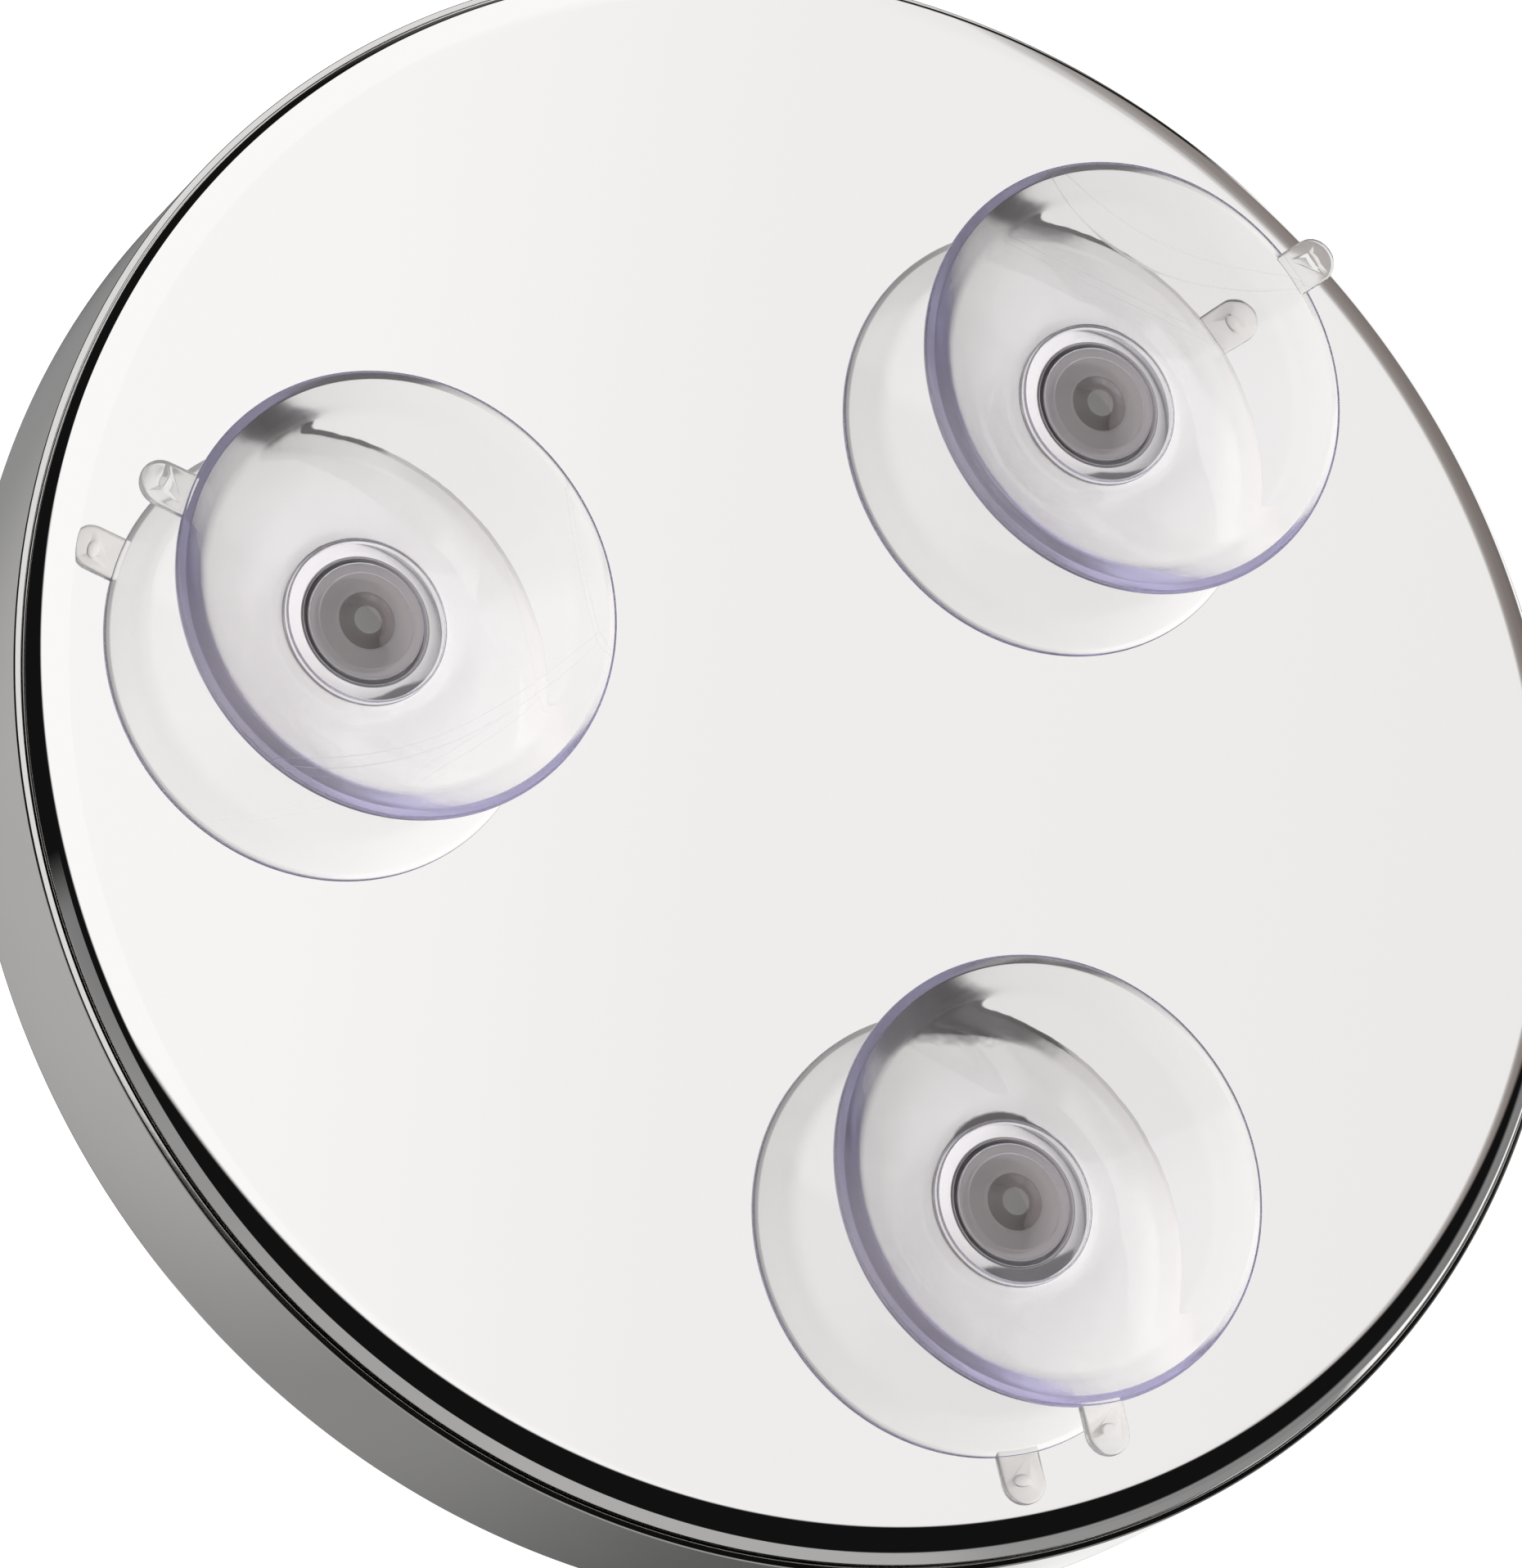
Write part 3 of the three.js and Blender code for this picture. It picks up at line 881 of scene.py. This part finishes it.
# Room on the mirror face's side, and a backdrop in it
ROOM_BELOW = [(-0.82, 1.0), (-0.62, 0.0)]
ROOM_HEIGHT = [(-1.0, 0.11), (-0.42, 0.13), (0.05, 0.32), (0.45, 0.55), (1.0, 0.62)]
BACKDROP_SLANT = 1.0
BACKDROP_TURN = [(-0.06, 1.0), (0.06, 0.0)]
BACKDROP_HIGH = [(-0.24, 0.0), (-0.12, 1.0)]
BACKDROP_LOW = [(-0.02, 1.0), (0.10, 0.0)]

# What light that has passed into glass or vinyl sees
GLASS_LEFT = [
    (-0.85, 0.42), (-0.70, 0.52), (-0.60, 0.66), (-0.50, 0.80),
    (-0.40, 0.93), (-0.34, 1.03), (-0.28, 1.14), (-0.10, 1.2),
]
GLASS_HIGH = [
    (-0.60, 0.32), (-0.35, 0.50), (-0.05, 0.62), (0.05, 0.76),
    (0.15, 0.88), (0.25, 0.97), (0.35, 1.0),
]
GLASS_BELT = [
    (-0.66, 0.45), (-0.35, 0.16), (0.0, 0.20), (0.12, 0.58),
    (0.35, 0.68), (0.50, 0.85), (0.65, 1.0),
]
WHITE_BELOW = -0.5


class Studio(Tree):
    """The world's node tree, where a value may differ by direction."""

    def __init__(self, world):
        world.use_nodes = True
        super().__init__(world.node_tree, "ShaderNodeOutputWorld")
        self.where = self.add("ShaderNodeTexCoord").outputs["Generated"]

    def along(self, direction):
        dot = self.add("ShaderNodeVectorMath", operation="DOT_PRODUCT")
        self.join(self.where, dot.inputs[0])
        dot.inputs[1].default_value = direction
        return dot.outputs["Value"]

    def level(self, value, stops):
        """A level that eases from stop to stop."""
        low, high = stops[0][0], stops[-1][0]
        span = self.add("ShaderNodeMapRange")
        span.inputs["From Min"].default_value = low
        span.inputs["From Max"].default_value = high
        self.join(value, span.inputs["Value"])
        ramp = self.add("ShaderNodeValToRGB")
        ramp.color_ramp.interpolation = "EASE"
        elements = ramp.color_ramp.elements
        anywhere = 0.5
        while len(elements) < len(stops):
            elements.new(anywhere)
        for element, (place, brightness) in zip(elements, stops):
            element.position = (place - low) / (high - low)
            element.color = (brightness, brightness, brightness, 1)
        self.join(span.outputs["Result"], ramp.inputs["Fac"])
        return ramp.outputs["Color"]

    def times(self, *colours):
        product = colours[0]
        for colour in colours[1:]:
            product = self.mixed(1.0, product, colour, "MULTIPLY")
        return product

    def lighter(self, a, b):
        """The lighter of two colours, channel by channel."""
        return self.mixed(1.0, a, b, "LIGHTEN")

    def plus(self, a, b, share):
        """a, with that share of b added."""
        return self.maths("MULTIPLY_ADD", b, share, a)


def metal_light(n, outward, left, high):
    slanted = n.plus(high, left, METAL_SLANT)
    passed = n.maths("GREATER_THAN", n.ray("Transmission Depth"), PASSED_DEPTH)
    return n.times(
        n.level(left, METAL_LEFT),
        n.mixed(n.level(left, WARM_LEFT), 1.0, WARM),
        n.mixed(passed, n.level(slanted, METAL_HIGH), n.level(slanted, PASSED_HIGH)),
        n.level(n.plus(left, high, METAL_FAR_SLANT), METAL_FAR_LEFT),
        n.level(outward, METAL_LOW),
    )


def table(n, outward, left, high):
    below_top = n.plus(n.level(left, TABLE_TOP), outward, -1.0)
    return n.times(n.level(left, TABLE_LEFT), n.level(below_top, TABLE_EDGE), n.level(high, TABLE_SIDE))


def backdrop(n, outward, left, high):
    turned = n.level(n.plus(left, high, BACKDROP_SLANT), BACKDROP_TURN)
    return n.times(turned, n.level(high, BACKDROP_HIGH), n.level(outward, BACKDROP_LOW))


def metal_view(n, outward, left, high, room):
    below = n.lighter(table(n, outward, left, high), DARK_LEVEL)
    lights = n.lighter(metal_light(n, outward, left, high), below)
    with_room = n.mixed(n.level(outward, ROOM_BELOW), lights, room)
    return n.lighter(with_room, backdrop(n, outward, left, high))


def glass_view(n, outward, left, high, room):
    above = n.maths("GREATER_THAN", outward, 0.0)
    box = n.times(n.level(left, GLASS_LEFT), n.level(high, GLASS_HIGH))
    seen = n.times(n.mixed(above, room, box), n.level(outward, GLASS_BELT))
    return n.mixed(n.maths("LESS_THAN", outward, WHITE_BELOW), seen, 1.0)


def make_world():
    """White to the camera, one soft level to surfaces without gloss, and the studio to metal and glass."""
    world = bpy.data.worlds.new("studio")
    bpy.context.scene.world = world
    n = Studio(world)
    outward, left, high = n.along(OUTWARD), n.along(LEFT), n.along(HIGH)
    room = n.level(n.along(UPWARD), ROOM_HEIGHT)
    on_metal = metal_view(n, outward, left, high, room)
    in_glass = glass_view(n, outward, left, high, room)
    studio = n.mixed(n.ray("Is Transmission Ray"), on_metal, in_glass)
    diffused = n.maths("GREATER_THAN", n.ray("Diffuse Depth"), DIFFUSED_DEPTH)
    lit = n.mixed(diffused, studio, SOFT_LEVEL)
    background = n.add("ShaderNodeBackground")
    n.join(n.mixed(n.ray("Is Camera Ray"), lit, 1.0), background.inputs["Color"])
    n.join(background.outputs[0], n.output.inputs["Surface"])


# Dark flag in the studio, as (left, high edge, low edge) in millimetres on a plane before the plate
FLAG_AWAY = 1100 * MM
FLAG_SOFT = 36 * MM
FLAG_FIRST_FADE = 40
FLAG_LAST_FADE = 30
FLAG_COLOUR = (0.06, 0.057, 0.06, 1)
FLAG_COLUMNS = [
    (-1090, 165, -365), (-730, 170, -395), (-620, 190, -410), (-540, 195, -430), (-505, 170, -435),
    (-440, 90, -440), (-340, -10, -455), (-220, -135, -465), (-140, -240, -470),
]


def flag_sheet():
    """The flag's mesh, with how much each vertex covers: all of it inside, and nothing at the edges."""
    first, last = FLAG_COLUMNS[0], FLAG_COLUMNS[-1]
    columns = [(first[0] - FLAG_FIRST_FADE, *first[1:])] + FLAG_COLUMNS
    columns += [(last[0] + FLAG_LAST_FADE, *last[1:])]
    half = FLAG_SOFT / 2
    verts, cover, faces = [], [], []
    for i, (left, high, low) in enumerate(columns):
        inside = 0.0 if i in (0, len(columns) - 1) else 1.0
        top, bottom = high * MM, low * MM
        rows = [(top + half, 0.0), (top - half, inside), (bottom + half, inside), (bottom - half, 0.0)]
        for height, share in rows:
            in_plane = Vector(LEFT) * (left * MM) + Vector(HIGH) * height
            verts.append(in_plane + Vector((0, PLATE_Y + FLAG_AWAY, 0)))
            cover.append(share)
        if i:
            for row in range(len(rows) - 1):
                a = len(rows) * (i - 1) + row
                b = a + len(rows)
                faces.append((a, a + 1, b + 1, b))
    flag = link_mesh("flag", verts, faces)
    flag.data.attributes.new("cover", "FLOAT", "POINT").data.foreach_set("value", cover)
    return flag


def flag_material():
    n = Nodes("dark_flag")
    passed = n.maths("GREATER_THAN", n.ray("Transmission Depth"), FLAG_DEPTH)
    shown = n.maths("MULTIPLY", n.attribute("cover"), passed)
    clear = n.add("ShaderNodeBsdfTransparent")
    dark = n.coloured("ShaderNodeEmission", FLAG_COLOUR)
    n.join(n.either(shown, clear, dark), n.output.inputs["Surface"])
    return n.material


def make_flag():
    """A dark card with soft edges, which only the light that has come through the cups sees."""
    flag = flag_sheet()
    flag.data.materials.append(flag_material())
    for kind in ("camera", "diffuse", "glossy", "shadow", "volume_scatter"):
        setattr(flag, "visible_" + kind, False)


# Floor that looks as white to the camera as the surroundings in the photo
FLOOR_REACH = 6.0
FLOOR_GAP = 0.02
FLOOR_GREY = (0.85, 0.85, 0.85, 1)
FLOOR_GLOW = 0.7


def floor_material():
    n = Nodes("pale_floor")
    diffuse = n.coloured("ShaderNodeBsdfDiffuse", FLOOR_GREY)
    glow = n.coloured("ShaderNodeEmission", WHITE)
    n.join(n.maths("MULTIPLY", n.ray("Is Camera Ray"), FLOOR_GLOW), glow.inputs["Strength"])
    n.join(n.together(diffuse, glow), n.output.inputs["Surface"])
    return n.material


def make_floor():
    reach = FLOOR_REACH
    level = -RIM_RADIUS - FLOOR_GAP
    verts = [(-reach, -reach, level), (reach, -reach, level), (reach, reach, level), (-reach, reach, level)]
    floor = link_mesh("floor", verts, [(0, 1, 2, 3)])
    floor.data.materials.append(floor_material())
    floor.visible_glossy = False
    floor.visible_transmission = False


# Soft lamp above the mirror and on the plate's side, aimed at the frame's origin
LAMP_ENERGY = 14
LAMP_SIZE = 1.2
LAMP_PLACE = (0.5, 0.6, 1.6)


def make_lights():
    data = bpy.data.lights.new("key", "AREA")
    data.energy = LAMP_ENERGY
    data.size = LAMP_SIZE
    key = bpy.data.objects.new("key", data)
    bpy.context.scene.collection.objects.link(key)
    key.location = LAMP_PLACE
    key.rotation_mode = "QUATERNION"
    key.rotation_quaternion = (-key.location).to_track_quat("-Z", "Y")
    key.visible_glossy = False
    key.visible_transmission = False


make_camera()
make_world()
make_floor()
make_flag()
make_lights()
housing_ring_shell()
rear_plate_shell()
mirror_glass_pane()
inner_pieces()
suction_cups()

view = bpy.context.scene.view_settings
view.view_transform = "Standard"

# Light runs along inside the clear cups and is reflected more than four times, where Cycles would stop
bpy.context.scene.cycles.glossy_bounces = 12
bpy.context.scene.cycles.volume_bounces = 2
